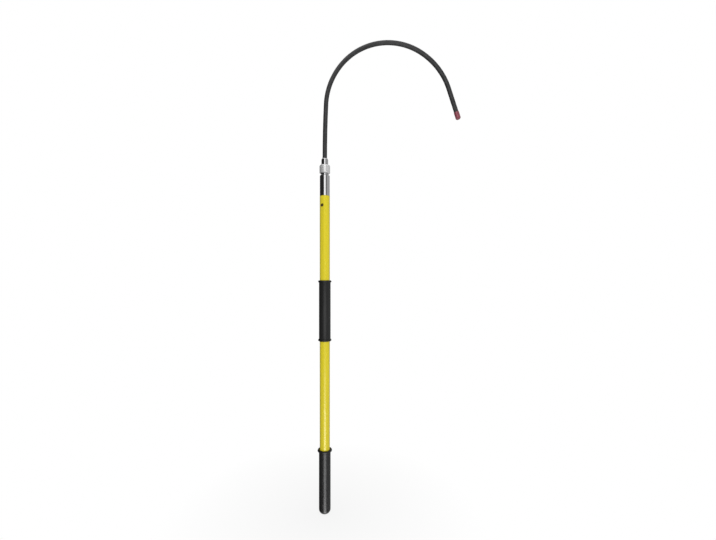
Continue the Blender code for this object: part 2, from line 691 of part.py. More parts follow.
def make_nut(hook):
    """The captive nut and the ring in its collar bore that keeps it from rattling."""
    carrier = bpy.data.objects.new("nut_carrier", None)
    bpy.context.scene.collection.objects.link(carrier)
    carrier.location.z = NUT_RING_HEIGHT
    carrier.parent = hook

    ring_centre = COLLAR_RADIUS + SEAL_GAP + NUT_RING_WIRE_RADIUS
    groove_half = NUT_RING_WIRE_RADIUS + SEAT_GAP
    groove_floor = ring_centre + NUT_RING_WIRE_RADIUS + SEAT_GAP
    hole = COLLAR_RADIUS + SEAT_GAP
    thread_bore = NOSE_RADIUS + SEAT_GAP
    row_height = (NUT_TOP - NUT_BOTTOM - NUT_PLAIN_BAND * 2) / KNURL_ROWS
    outline = [
        (thread_bore + EDGE_CHAMFER, NUT_BOTTOM),
        (NUT_RADIUS - NUT_CHAMFER, NUT_BOTTOM),
    ]
    for row in range(KNURL_ROWS + 1):
        outline.append((NUT_RADIUS, NUT_BOTTOM + NUT_PLAIN_BAND + row_height * row))
    outline += [
        (NUT_RADIUS - NUT_CHAMFER, NUT_TOP),
        (hole + EDGE_CHAMFER, NUT_TOP),
        (hole, NUT_TOP - EDGE_CHAMFER),
        (hole, NUT_RING_HEIGHT + groove_half),
        (groove_floor, NUT_RING_HEIGHT + groove_half),
        (groove_floor, NUT_RING_HEIGHT - groove_half),
        (hole, NUT_RING_HEIGHT - groove_half),
        (hole, SHOULDER_BOTTOM),
        (thread_bore, SHOULDER_BOTTOM),
        (thread_bore, NUT_BOTTOM + EDGE_CHAMFER),
    ]
    form = spun(outline, KNURL_COLUMNS)
    knurl(form)
    bmesh.ops.translate(form, verts=form.verts, vec=(0, 0, -NUT_RING_HEIGHT))
    nut = finished("coupling_nut", form)
    nut.parent = carrier
    coat(nut, (0.64, 0.64, 0.65), 0.18, 1.0)

    friction_ring = ring("nut_friction_ring", ring_centre, NUT_RING_WIRE_RADIUS, 0.0)
    friction_ring.parent = carrier
    coat(friction_ring, (0.02, 0.02, 0.02), 0.5)


def main():
    for thing in list(bpy.data.objects):
        bpy.data.objects.remove(thing)
    make_pole()
    make_grips()
    make_adapter()
    make_button()
    hook = bpy.data.objects.new("hook_lift", None)
    bpy.context.scene.collection.objects.link(hook)
    cross_bore = make_ferrule(hook)
    make_hook(hook, cross_bore)
    make_nut(hook)
    bpy.context.view_layer.update()


main()
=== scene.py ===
"""Insulated hook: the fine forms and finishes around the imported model. Metres, +Z up the pole."""
import math

import bpy
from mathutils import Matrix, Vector


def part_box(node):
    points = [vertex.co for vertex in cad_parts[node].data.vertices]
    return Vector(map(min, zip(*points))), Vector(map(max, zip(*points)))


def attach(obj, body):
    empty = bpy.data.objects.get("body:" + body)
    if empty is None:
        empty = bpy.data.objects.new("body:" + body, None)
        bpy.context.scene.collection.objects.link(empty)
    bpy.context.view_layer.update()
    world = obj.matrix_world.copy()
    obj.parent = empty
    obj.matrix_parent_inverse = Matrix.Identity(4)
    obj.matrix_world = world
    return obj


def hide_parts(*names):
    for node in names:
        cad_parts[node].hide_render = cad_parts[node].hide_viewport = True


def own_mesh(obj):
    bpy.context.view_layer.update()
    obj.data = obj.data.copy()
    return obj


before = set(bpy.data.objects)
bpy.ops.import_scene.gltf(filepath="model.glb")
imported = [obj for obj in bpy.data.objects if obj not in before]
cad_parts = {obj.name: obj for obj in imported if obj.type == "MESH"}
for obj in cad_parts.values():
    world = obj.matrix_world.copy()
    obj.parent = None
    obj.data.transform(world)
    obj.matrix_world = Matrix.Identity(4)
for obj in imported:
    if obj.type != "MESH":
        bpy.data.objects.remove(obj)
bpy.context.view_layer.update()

# Fineness
FINE_SIDES = 96
ROD_SIDES = 40
SMALL_SIDES = 48
WIRE_SIDES = 16
CARD_SIDES = 24
ARC_STEPS = 12
BEND_STEP = math.radians(2)
LEAST_BEND_STEPS = 4
SMOOTH_ANGLE = math.radians(35)
SEED_SIZE = 0.001
WELD = 0.000001
BORE_WELD = 0.00001

# Edges and clearance
EDGE = 0.0006
BEVEL_ANGLE = math.radians(40)
BEVEL_SEGMENTS = 2
TUBE_BEVEL = 0.0003
METAL_BEVEL = 0.00025
CAP_BEVEL = 0.0002
GAP = 0.0003

# Pole and grips
POLE_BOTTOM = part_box("pole_tube")[0].z
POLE_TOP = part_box("pole_tube")[1].z
POLE_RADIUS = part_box("pole_tube")[1].x
POLE_WALL = 0.003
GRIP_BORE = POLE_RADIUS + GAP
GRIP_WALL = 0.0022
GRIP_RADIUS = GRIP_BORE + GRIP_WALL
BUTT_WALL = 0.008
BUTT_ROUNDING = 0.013
LIP_THICKNESS = 0.007
RIM_THICKNESS = 0.007

# Head adapter and thread
SPIGOT_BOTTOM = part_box("head_adapter")[0].z
SPIGOT_RADIUS = POLE_RADIUS - POLE_WALL - GAP
SEAL_HEIGHT = (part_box("adapter_seal")[0].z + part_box("adapter_seal")[1].z) / 2
SEAL_GROOVE_HALF = 0.0012
SEAL_GROOVE_RADIUS = 0.0108
BARREL_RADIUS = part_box("head_adapter")[1].x
BARREL_BOTTOM = POLE_TOP + GAP
BARREL_LENGTH = 0.066
BARREL_TOP = BARREL_BOTTOM + BARREL_LENGTH
BARREL_CHAMFER = 0.0015
NECK_RADIUS = 0.011
NOSE_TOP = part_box("head_adapter")[1].z
NOSE_LENGTH = 0.008
NOSE_BOTTOM = NOSE_TOP - NOSE_LENGTH
NOSE_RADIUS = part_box("hook_ferrule")[1].x
THREAD_PITCH = 0.0015
THREAD_DEPTH = 0.0008
THREAD_ROOT_WIDTH = 0.0011
THREAD_CREST_WIDTH = 0.00024
THREAD_EMBED = 0.00005
THREAD_RUNOUT = THREAD_ROOT_WIDTH * 3

# Snap button
BUTTON_HEIGHT = (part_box("snap_button")[0].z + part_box("snap_button")[1].z) / 2
BUTTON_AZIMUTH = math.radians(28)
BUTTON_OUT = Vector((-math.sin(BUTTON_AZIMUTH), -math.cos(BUTTON_AZIMUTH), 0.0))
BUTTON_RADIUS = 0.0048
BUTTON_STANDS_OUT = 0.0015
BUTTON_TIP = POLE_RADIUS + BUTTON_STANDS_OUT
BUTTON_DOME = 0.0012
BUTTON_DOME_END = 84
BUTTON_BORE_RADIUS = 0.0067
BUTTON_BORE_DEPTH = 0.008
BUTTON_FLANGE_TOP = 0.00819
BUTTON_FLANGE_BOTTOM = 0.00619
BUTTON_STEM_RADIUS = 0.0024
BUTTON_STEM_LENGTH = 0.005
SPRING_LOW = -0.0077
SPRING_HIGH = 0.00589
SPRING_RADIUS = 0.0038
SPRING_WIRE = 0.00045
SPRING_TURNS = 6

# Ferrule and nut
FERRULE_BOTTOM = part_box("hook_ferrule")[0].z
COLLAR_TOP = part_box("hook_ferrule")[1].z
FERRULE_SPIGOT_RADIUS = 0.008
SOCKET_RADIUS = FERRULE_SPIGOT_RADIUS + GAP
FLANGE_BOTTOM = NOSE_TOP + GAP
FLANGE_THICKNESS = 0.004
FLANGE_TOP = FLANGE_BOTTOM + FLANGE_THICKNESS
COLLAR_RADIUS = 0.0107
COLLAR_DOME = 0.0062
COLLAR_LIP = 0.0006
NUT_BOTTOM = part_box("coupling_nut")[0].z
NUT_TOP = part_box("coupling_nut")[1].z
NUT_RADIUS = 0.0168
NUT_CHAMFER = 0.0018
NUT_PLAIN_BAND = 0.0022
SHOULDER_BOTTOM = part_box("thrust_washer")[1].z + GAP
NUT_RING_HEIGHT = (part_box("nut_friction_ring")[0].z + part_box("nut_friction_ring")[1].z) / 2
NUT_GROOVE_HALF = 0.0012
NUT_GROOVE_RADIUS = 0.0129
KNURL_DEPTH = 0.00033
KNURL_COLUMNS = 84
KNURL_ROWS = 16

# Hook rod: each bend is a radius and a turn
ROD_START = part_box("hook_core")[0].z
SHEATH_SEAT_DEPTH = 0.012
SHEATH_BOTTOM = COLLAR_TOP - SHEATH_SEAT_DEPTH
SHEATH_RADIUS = 0.0072
SHEATH_WALL = 0.0019
SHEATH_BORE = SHEATH_RADIUS + GAP
RISER_LENGTH = 0.0038
BENDS = (
    (3.660, math.radians(2.67)),
    (0.215, math.radians(37.8)),
    (0.193, math.radians(80.4)),
    (0.218, math.radians(41.3)),
)
TAIL_LENGTH = 0.103
TIP_PLUG_HEAD = 0.002
CAP_LENGTH = 0.024
CAP_WALL = 0.0006
CAP_RADIUS = SHEATH_BORE + CAP_WALL
CAP_END_WALL = 0.005
SHEATH_END_TO_TIP = CAP_END_WALL + GAP + TIP_PLUG_HEAD + GAP
CAP_ROUNDING = 0.0058

# Finishes: how far a tone or a roughness strays, and the colour sockets of the Mix node
DULL_SHARE = 0.92
SMUDGE_ROUGHNESS = 0.06
ROUGHNESS_SWING = 0.05
MIX_FIRST = 6
MIX_SECOND = 7
MIX_RESULT = 2

# Ground, world and lamp: the floor's share of white goes from near to far between two distances
FLOOR_SIZE = 40
FLOOR_DROP = 0.0002
FLOOR_WHITE_NEAR = 0.85
FLOOR_WHITE_FAR = 1.0
FLOOR_FADE_START = 0.05
FLOOR_FADE_END = 0.5
WORLD_LEVEL = 0.46
SOFTBOX_PLACE = (0.45, -2.1, 1.0)
SOFTBOX_TARGET = (0, 0, 0.8)
SOFTBOX_WIDTH = 0.8
SOFTBOX_HEIGHT = 1.6
SOFTBOX_POWER = 27

# Studio cards: radii and heights, then directions in degrees from straight ahead, with the front's white
# gap between WHITE_FROM and WHITE_TO, then tones, which are sampled as lamps from SAMPLED_TONE up
CARD_FLOOR = 0.001
CARD_START = 0.021
CARD_NEAR = 0.12
CARD_FAR = 0.80
CARD_STEP = 1.20
CARD_TOP = 2.20
DIM_LOW = 0.43
DIM_OPENING_LOW = 0.55
DIM_OPENING_HIGH = 0.725
DIM_HIGH = 1.03
GLOW_END = 0.97
GLOW_FADE_END = 1.6
WHITE_FROM = -14
WHITE_TO = 25
DARK_GREY_SPAN = 26
GREY_FROM = WHITE_TO + DARK_GREY_SPAN
GLOW_FROM = -8
CARD_BACK = 178
QUARTER_TURN = 90
BLACK_TONE = 0.02
DARK_GREY_TONE = 0.14
GREY_TONE = 0.34
DIM_TONE = 0.25
GLOW_TONE = 5.2
GLOW_FADE_TONE = 1.8
SAMPLED_TONE = 1.0

# View: a level camera in front of the pole's plane
CAMERA_ACROSS = 0.1062
CAMERA_AWAY = 1.16
CAMERA_HEIGHT = 0.745
CAMERA_LENS = 18.225
CAMERA_SHIFT_UP = 0.0135


def alone(piece):
    """Select this piece and nothing else."""
    bpy.ops.object.select_all(action="DESELECT")
    piece.select_set(True)
    bpy.context.view_layer.objects.active = piece


def named(name):
    """Give the primitive just added its name."""
    piece = bpy.context.object
    piece.name = name
    piece.data.name = name
    return piece


def smoothed(piece):
    """Shade the piece smooth but for its sharp edges."""
    alone(piece)
    bpy.ops.object.shade_smooth_by_angle(angle=SMOOTH_ANGLE)
    return piece


def apply_modifier(piece, modifier):
    """Work the modifier into the piece's mesh."""
    alone(piece)
    bpy.ops.object.modifier_apply(modifier=modifier.name)


def rounded_edges(piece, width):
    """Bevel the sharp edges."""
    bevel = piece.modifiers.new("edges", "BEVEL")
    bevel.width = width
    bevel.segments = BEVEL_SEGMENTS
    bevel.limit_method = "ANGLE"
    bevel.angle_limit = BEVEL_ANGLE
    apply_modifier(piece, bevel)


def outline(name, corners, closed):
    """Draw an outline of (radius, height) corners by extruding one point along it."""
    route = corners + corners[:1] if closed else corners
    bpy.ops.object.select_all(action="DESELECT")
    bpy.ops.mesh.primitive_plane_add(size=SEED_SIZE, location=(route[0][0], 0, route[0][1]))
    piece = named(name)
    bpy.ops.object.transform_apply(location=True)
    bpy.ops.object.mode_set(mode="EDIT")
    bpy.ops.mesh.select_all(action="SELECT")
    bpy.ops.mesh.merge(type="CENTER")
    for before, after in zip(route, route[1:]):
        step = (after[0] - before[0], 0, after[1] - before[1])
        bpy.ops.mesh.extrude_region_move(TRANSFORM_OT_translate={"value": step})
    bpy.ops.mesh.select_all(action="SELECT")
    bpy.ops.mesh.remove_doubles(threshold=WELD)
    bpy.ops.object.mode_set(mode="OBJECT")
    return piece


def turned(name, corners, sides=FINE_SIDES, closed=True):
    """Spin an outline about Z."""
    piece = outline(name, corners, closed)
    bpy.ops.object.mode_set(mode="EDIT")
    bpy.ops.mesh.select_all(action="SELECT")
    bpy.ops.mesh.spin(steps=sides, angle=math.tau, center=(0, 0, 0), axis=(0, 0, 1))
    tidy_surface()
    bpy.ops.object.mode_set(mode="OBJECT")
    return smoothed(piece)


def wound(piece, turns, rise, sides):
    """Carry a closed outline up a helix about Z and close its two ends."""
    helix = piece.modifiers.new("helix", "SCREW")
    helix.angle = turns * math.tau
    helix.screw_offset = rise
    helix.steps = round(turns * sides)
    helix.render_steps = helix.steps
    helix.use_merge_vertices = False
    apply_modifier(piece, helix)
    bpy.ops.object.mode_set(mode="EDIT")
    bpy.ops.mesh.select_all(action="DESELECT")
    bpy.ops.mesh.select_non_manifold(extend=False)
    bpy.ops.mesh.fill_holes(sides=0)
    tidy_surface()
    bpy.ops.object.mode_set(mode="OBJECT")
    return smoothed(piece)


def tidy_surface():
    """In edit mode, weld the seam and the poles and point the faces outwards."""
    bpy.ops.mesh.select_all(action="SELECT")
    bpy.ops.mesh.remove_doubles(threshold=WELD)
    bpy.ops.mesh.normals_make_consistent(inside=False)


def arc(centre_radius, centre_height, radius, start, end, height_scale=1.0):
    """Corners along an arc, from straight out at 0 degrees to straight up at 90."""
    corners = []
    for step in range(ARC_STEPS + 1):
        angle = math.radians(start + (end - start) * step / ARC_STEPS)
        corners.append((
            centre_radius + radius * math.cos(angle),
            centre_height + radius * height_scale * math.sin(angle),
        ))
    return corners


def placed(piece, point, direction):
    """Stand the piece's Z along the direction at the point, in its mesh."""
    alone(piece)
    piece.rotation_euler = direction.to_track_quat("Z", "Y").to_euler()
    piece.location = point
    bpy.ops.object.transform_apply(location=True, rotation=True)
    return piece


def bored(piece, radius, length, point, direction):
    """Cut a round hole that starts at the point and runs along the direction."""
    bpy.ops.object.select_all(action="DESELECT")
    bpy.ops.mesh.primitive_cylinder_add(vertices=SMALL_SIDES, radius=radius, depth=length)
    tool = placed(named("tool"), point + direction * (length / 2), direction)
    cut = piece.modifiers.new("bore", "BOOLEAN")
    cut.operation = "DIFFERENCE"
    cut.object = tool
    apply_modifier(piece, cut)
    bpy.data.objects.remove(tool)
    bpy.ops.object.mode_set(mode="EDIT")
    bpy.ops.mesh.select_all(action="SELECT")
    bpy.ops.mesh.remove_doubles(threshold=BORE_WELD)
    bpy.ops.object.mode_set(mode="OBJECT")
    return piece


def fitted(piece, node, body):
    """The piece stands for the node, which it hides, and rides on its body."""
    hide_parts(node)
    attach(piece, body)
    return piece


def bead(height, thickness, outer_radius):
    """Corners of a rounded collar that stands out from a grip."""
    edge = thickness / 2
    return arc(outer_radius - edge, height + edge, edge, -90, 90)


def make_pole():
    """The yellow tube, with the hole that the button comes through."""
    tube = turned("yellow_tube", [
        (POLE_RADIUS, POLE_BOTTOM + EDGE),
        (POLE_RADIUS, POLE_TOP - EDGE),
        (POLE_RADIUS - EDGE, POLE_TOP),
        (POLE_RADIUS - POLE_WALL, POLE_TOP),
        (POLE_RADIUS - POLE_WALL, POLE_BOTTOM),
        (POLE_RADIUS - EDGE, POLE_BOTTOM),
    ])
    centre = Vector((0, 0, BUTTON_HEIGHT))
    bored(tube, BUTTON_RADIUS + GAP, POLE_RADIUS * 2, centre, BUTTON_OUT)
    rounded_edges(tube, TUBE_BEVEL)
    return fitted(smoothed(tube), "pole_tube", "pole")


def make_lower_grip():
    """The lower grip's sleeve: a rounded closed end, a straight wall and a lip."""
    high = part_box("lower_grip")[1]
    lip_bottom = high.z - LIP_THICKNESS
    root = (high.x - GRIP_RADIUS) / 2
    corners = [(0.0, 0.0)]
    corners += arc(GRIP_RADIUS - BUTT_ROUNDING, BUTT_ROUNDING, BUTT_ROUNDING, -90, 0)
    corners += arc(GRIP_RADIUS + root, lip_bottom - root, root, 180, 90)
    corners += bead(lip_bottom, LIP_THICKNESS, high.x)[1:]
    corners += [
        (GRIP_BORE + EDGE, high.z),
        (GRIP_BORE, high.z - EDGE),
        (GRIP_BORE, BUTT_WALL),
        (0.0, BUTT_WALL),
    ]
    grip = turned("lower_grip_sleeve", corners, closed=False)
    return fitted(grip, "lower_grip", "pole")


def make_middle_grip():
    """The middle grip's sleeve, with a rim at each end."""
    low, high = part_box("middle_grip")
    corners = [(GRIP_BORE + EDGE, low.z)]
    corners += bead(low.z, RIM_THICKNESS, high.x)
    corners += [(GRIP_RADIUS, low.z + RIM_THICKNESS), (GRIP_RADIUS, high.z - RIM_THICKNESS)]
    corners += bead(high.z - RIM_THICKNESS, RIM_THICKNESS, high.x)
    corners += [
        (GRIP_BORE + EDGE, high.z),
        (GRIP_BORE, high.z - EDGE),
        (GRIP_BORE, low.z + EDGE),
    ]
    grip = turned("middle_grip_sleeve", corners)
    return fitted(grip, "middle_grip", "pole")


def make_adapter():
    """The adapter's turned body, with its nose down to the root of the thread."""
    nose_root = NOSE_RADIUS - THREAD_DEPTH
    socket_floor = FERRULE_BOTTOM - GAP
    body = turned("adapter_body", [
        (0.0, SPIGOT_BOTTOM),
        (SPIGOT_RADIUS - BARREL_CHAMFER, SPIGOT_BOTTOM),
        (SPIGOT_RADIUS, SPIGOT_BOTTOM + BARREL_CHAMFER),
        (SPIGOT_RADIUS, SEAL_HEIGHT - SEAL_GROOVE_HALF),
        (SEAL_GROOVE_RADIUS, SEAL_HEIGHT - SEAL_GROOVE_HALF),
        (SEAL_GROOVE_RADIUS, SEAL_HEIGHT + SEAL_GROOVE_HALF),
        (SPIGOT_RADIUS, SEAL_HEIGHT + SEAL_GROOVE_HALF),
        (SPIGOT_RADIUS, BARREL_BOTTOM),
        (BARREL_RADIUS - EDGE / 2, BARREL_BOTTOM),
        (BARREL_RADIUS, BARREL_BOTTOM + EDGE / 2),
        (BARREL_RADIUS, BARREL_TOP - BARREL_CHAMFER),
        (BARREL_RADIUS - BARREL_CHAMFER, BARREL_TOP),
        (NECK_RADIUS + EDGE, BARREL_TOP),
        (NECK_RADIUS, BARREL_TOP + EDGE),
        (NECK_RADIUS, NOSE_BOTTOM),
        (nose_root - EDGE, NOSE_BOTTOM),
        (nose_root, NOSE_BOTTOM + EDGE),
        (nose_root, NOSE_TOP - EDGE),
        (nose_root - EDGE, NOSE_TOP),
        (SOCKET_RADIUS + EDGE / 2, NOSE_TOP),
        (SOCKET_RADIUS, NOSE_TOP - EDGE / 2),
        (SOCKET_RADIUS, socket_floor),
        (0.0, socket_floor),
    ], closed=False)
    bore_start = Vector((0, 0, BUTTON_HEIGHT)) - BUTTON_OUT * BUTTON_BORE_DEPTH
    bored(body, BUTTON_BORE_RADIUS, BUTTON_BORE_DEPTH + POLE_RADIUS, bore_start, BUTTON_OUT)
    pin_low, pin_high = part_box("index_pin")
    pin_radius = (pin_high.x - pin_low.x) / 2
    pin_foot = Vector(((pin_low.x + pin_high.x) / 2, 0, pin_low.z - GAP))
    bored(body, pin_radius + GAP, (pin_high.z - pin_low.z) * 2, pin_foot, Vector((0, 0, 1)))
    rounded_edges(body, METAL_BEVEL)
    return fitted(smoothed(body), "head_adapter", "pole")


def thread(name, root_radius, crest_radius, low, high):
    """A thread's ridge: a small four-sided outline carried up a helix."""
    ridge = outline(name, [
        (root_radius, low - THREAD_ROOT_WIDTH / 2),
        (crest_radius, low - THREAD_CREST_WIDTH / 2),
        (crest_radius, low + THREAD_CREST_WIDTH / 2),
        (root_radius, low + THREAD_ROOT_WIDTH / 2),
    ], closed=True)
    return wound(ridge, (high - low) / THREAD_PITCH, high - low, SMALL_SIDES)


def make_threads():
    """The nose's thread, and the nut's half a pitch away. The nut's is shallower, so that it clears the
    flange that it passes."""
    nose_low = NOSE_BOTTOM + THREAD_ROOT_WIDTH
    nose_high = NOSE_TOP - THREAD_ROOT_WIDTH
    nose_root = NOSE_RADIUS - THREAD_DEPTH - THREAD_EMBED
    nose_crest = NOSE_RADIUS - THREAD_EMBED
    outside = thread("nose_thread", nose_root, nose_crest, nose_low, nose_high)
    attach(outside, "pole")
    nut_low = nose_low - THREAD_PITCH / 2
    nut_high = SHOULDER_BOTTOM - THREAD_RUNOUT
    nut_root = NOSE_RADIUS + GAP + THREAD_EMBED
    nut_crest = NOSE_RADIUS + THREAD_EMBED
    inside = thread("nut_thread", nut_root, nut_crest, nut_low, nut_high)
    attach(inside, "nut")
    return outside, inside


def make_button():
    """The button with its domed head, flange and stem, and the coil behind it."""
    bore_radius = BUTTON_BORE_RADIUS - GAP
    corners = [
        (0.0, BUTTON_FLANGE_BOTTOM - BUTTON_STEM_LENGTH),
        (BUTTON_STEM_RADIUS, BUTTON_FLANGE_BOTTOM - BUTTON_STEM_LENGTH),
        (BUTTON_STEM_RADIUS, BUTTON_FLANGE_BOTTOM),
        (bore_radius, BUTTON_FLANGE_BOTTOM),
        (bore_radius, BUTTON_FLANGE_TOP),
        (BUTTON_RADIUS, BUTTON_FLANGE_TOP),
    ]
    dome_scale = BUTTON_DOME / BUTTON_RADIUS
    corners += arc(0.0, BUTTON_TIP - BUTTON_DOME, BUTTON_RADIUS, 0, BUTTON_DOME_END, dome_scale)
    corners.append((0.0, BUTTON_TIP))
    button = turned("button_plunger", corners, SMALL_SIDES, closed=False)
    centre = Vector((0, 0, BUTTON_HEIGHT))
    placed(button, centre, BUTTON_OUT)
    fitted(button, "snap_button", "button")

    rise = SPRING_HIGH - SPRING_LOW - SPRING_WIRE * 2
    bpy.ops.object.select_all(action="DESELECT")
    bpy.ops.mesh.primitive_circle_add(
        vertices=WIRE_SIDES,
        radius=SPRING_WIRE,
        location=(SPRING_RADIUS, 0, SPRING_LOW + SPRING_WIRE),
        rotation=(math.pi / 2, 0, 0),
    )
    coil = named("button_coil")
    bpy.ops.object.transform_apply(location=True, rotation=True)
    wound(coil, SPRING_TURNS, rise, ROD_SIDES)
    placed(coil, centre, BUTTON_OUT)
    fitted(coil, "button_spring", "pole")
    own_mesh(coil)
    return button, coil


def make_ferrule():
    """The stepped ferrule, with its bore for the rod and the holes of its cross pin and dowel."""
    dome = COLLAR_RADIUS - SHEATH_BORE - COLLAR_LIP
    corners = [
        (0.0, FERRULE_BOTTOM),
        (FERRULE_SPIGOT_RADIUS - EDGE, FERRULE_BOTTOM),
        (FERRULE_SPIGOT_RADIUS, FERRULE_BOTTOM + EDGE),
        (FERRULE_SPIGOT_RADIUS, FLANGE_BOTTOM),
        (NOSE_RADIUS - EDGE, FLANGE_BOTTOM),
        (NOSE_RADIUS, FLANGE_BOTTOM + EDGE),
        (NOSE_RADIUS, FLANGE_TOP - EDGE),
        (NOSE_RADIUS - EDGE, FLANGE_TOP),
        (COLLAR_RADIUS, FLANGE_TOP),
    ]
    corners += arc(COLLAR_RADIUS - dome, COLLAR_TOP - COLLAR_DOME, dome, 0, 90, COLLAR_DOME / dome)
    corners += [
        (SHEATH_BORE, COLLAR_TOP),
        (SHEATH_BORE, SHEATH_BOTTOM - GAP),
        (SHEATH_RADIUS - SHEATH_WALL, SHEATH_BOTTOM - GAP),
        (SHEATH_RADIUS - SHEATH_WALL, ROD_START - GAP),
        (0.0, ROD_START - GAP),
    ]
    ferrule = turned("ferrule_body", corners, closed=False)
    pin_low, pin_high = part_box("ferrule_pin")
    pin_radius = (pin_high.x - pin_low.x) / 2
    side = Vector((0, -FERRULE_SPIGOT_RADIUS * 2, (pin_low.z + pin_high.z) / 2))
    bored(ferrule, pin_radius + GAP, FERRULE_SPIGOT_RADIUS * 4, side, Vector((0, 1, 0)))
    index_low, index_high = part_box("index_pin")
    index_radius = (index_high.x - index_low.x) / 2
    reach = index_high.z - NOSE_TOP
    foot = Vector(((index_low.x + index_high.x) / 2, 0, FLANGE_BOTTOM - reach))
    bored(ferrule, index_radius + GAP, reach * 2 + GAP, foot, Vector((0, 0, 1)))
    rounded_edges(ferrule, METAL_BEVEL)
    return fitted(smoothed(ferrule), "hook_ferrule", "hook")


def make_nut():
    """The nut's turned form, with a diamond knurl pressed into its side: every other point of the side's
    grid goes in, and each cell is split between its two low points."""
    hole = COLLAR_RADIUS + GAP
    bore = NOSE_RADIUS + GAP
    low_edge = NUT_BOTTOM + NUT_PLAIN_BAND
    row_height = (NUT_TOP - NUT_PLAIN_BAND - low_edge) / KNURL_ROWS
    corners = [
        (bore + EDGE, NUT_BOTTOM),
        (NUT_RADIUS - NUT_CHAMFER, NUT_BOTTOM),
    ]
    corners += [(NUT_RADIUS, low_edge + row_height * row) for row in range(KNURL_ROWS + 1)]
    corners += [
        (NUT_RADIUS - NUT_CHAMFER, NUT_TOP),
        (hole + EDGE, NUT_TOP),
        (hole, NUT_TOP - EDGE),
        (hole, NUT_RING_HEIGHT + NUT_GROOVE_HALF),
        (NUT_GROOVE_RADIUS, NUT_RING_HEIGHT + NUT_GROOVE_HALF),
        (NUT_GROOVE_RADIUS, NUT_RING_HEIGHT - NUT_GROOVE_HALF),
        (hole, NUT_RING_HEIGHT - NUT_GROOVE_HALF),
        (hole, SHOULDER_BOTTOM),
        (bore, SHOULDER_BOTTOM),
        (bore, NUT_BOTTOM + EDGE),
    ]
    nut = turned("knurled_nut", corners, KNURL_COLUMNS)
    column_angle = math.tau / KNURL_COLUMNS
    alone(nut)
    bpy.ops.object.mode_set(mode="EDIT")
    bpy.ops.mesh.select_mode(type="VERT")
    bpy.ops.mesh.select_all(action="DESELECT")
    bpy.ops.object.mode_set(mode="OBJECT")
    for vert in nut.data.vertices:
        on_side = math.hypot(vert.co.x, vert.co.y) > NUT_RADIUS - WELD
        row = round((vert.co.z - low_edge) / row_height)
        column = round(math.atan2(vert.co.y, vert.co.x) / column_angle)
        vert.select = on_side and (row + column) % 2 == 1
    bpy.ops.object.mode_set(mode="EDIT")
    bpy.ops.mesh.vert_connect()
    inward = 1 - KNURL_DEPTH / NUT_RADIUS
    bpy.ops.transform.resize(value=(inward, inward, 1), center_override=(0, 0, 0))
    bpy.ops.object.mode_set(mode="OBJECT")
    return fitted(smoothed(nut), "coupling_nut", "nut")


def make_sheath():
    """The bent rod's sleeve: a circle extruded up the riser, spun round each bend and extruded down the
    tail."""
    bpy.ops.object.select_all(action="DESELECT")
    bpy.ops.mesh.primitive_circle_add(
        vertices=ROD_SIDES,
        radius=SHEATH_RADIUS,
        location=(0, 0, SHEATH_BOTTOM),
    )
    sheath = named("sheath_sleeve")
    bpy.ops.object.transform_apply(location=True)
    bpy.ops.object.mode_set(mode="EDIT")
    bpy.ops.mesh.select_all(action="SELECT")
    riser = (0, 0, COLLAR_TOP + RISER_LENGTH - SHEATH_BOTTOM)
    bpy.ops.mesh.extrude_region_move(TRANSFORM_OT_translate={"value": riser})
    point = Vector((0, 0, COLLAR_TOP + RISER_LENGTH))
    turned_by = 0.0
    for radius, turn in BENDS:
        centre = point + Vector((math.cos(turned_by), 0, -math.sin(turned_by))) * radius
        steps = max(LEAST_BEND_STEPS, math.ceil(turn / BEND_STEP))
        bpy.ops.mesh.spin(steps=steps, angle=-turn, center=centre, axis=(0, 1, 0))
        turned_by += turn
        point = centre - Vector((math.cos(turned_by), 0, -math.sin(turned_by))) * radius
    along = Vector((math.sin(turned_by), 0, math.cos(turned_by)))
    tail = along * (TAIL_LENGTH - SHEATH_END_TO_TIP)
    bpy.ops.mesh.extrude_region_move(TRANSFORM_OT_translate={"value": tail})
    tidy_surface()
    bpy.ops.object.mode_set(mode="OBJECT")
    wall = sheath.modifiers.new("wall", "SOLIDIFY")
    wall.thickness = SHEATH_WALL
    wall.offset = -1
    apply_modifier(sheath, wall)
    fitted(smoothed(sheath), "hook_sheath", "hook")
    return sheath, point + along * TAIL_LENGTH, along


def make_cap(tip, along):
    """The cap over the sheath's end, turned upright and then stood at the tip."""
    corners = [(0.0, 0.0)]
    corners += arc(CAP_RADIUS - CAP_ROUNDING, -CAP_ROUNDING, CAP_ROUNDING, 90, 0)
    corners += [
        (CAP_RADIUS, -CAP_LENGTH),
        (SHEATH_BORE, -CAP_LENGTH),
        (SHEATH_BORE, -CAP_END_WALL),
        (0.0, -CAP_END_WALL),
    ]
    cap = turned("red_cap_shell", corners, SMALL_SIDES, closed=False)
    rounded_edges(cap, CAP_BEVEL)
    placed(smoothed(cap), tip, along)
    return fitted(cap, "tip_cap", "hook")


def new_finish(name, colour, roughness, metallic=0.0):
    """A finish with its shader's plain values set."""
    material = bpy.data.materials.new(name)
    material.use_nodes = True
    shader = material.node_tree.nodes["Principled BSDF"]
    shader.inputs["Base Color"].default_value = (*colour, 1.0)
    shader.inputs["Roughness"].default_value = roughness
    shader.inputs["Metallic"].default_value = metallic
    return material, material.node_tree, shader


def grain(tree, scale, stretch=(1, 1, 1), detail=4.0):
    """Noise over the object's own coordinates, drawn out by the stretch."""
    place = tree.nodes.new("ShaderNodeTexCoord")
    mapping = tree.nodes.new("ShaderNodeMapping")
    mapping.inputs["Scale"].default_value = stretch
    noise = tree.nodes.new("ShaderNodeTexNoise")
    noise.inputs["Scale"].default_value = scale
    noise.inputs["Detail"].default_value = detail
    tree.links.new(place.outputs["Object"], mapping.inputs["Vector"])
    tree.links.new(mapping.outputs["Vector"], noise.inputs["Vector"])
    return noise.outputs["Fac"]


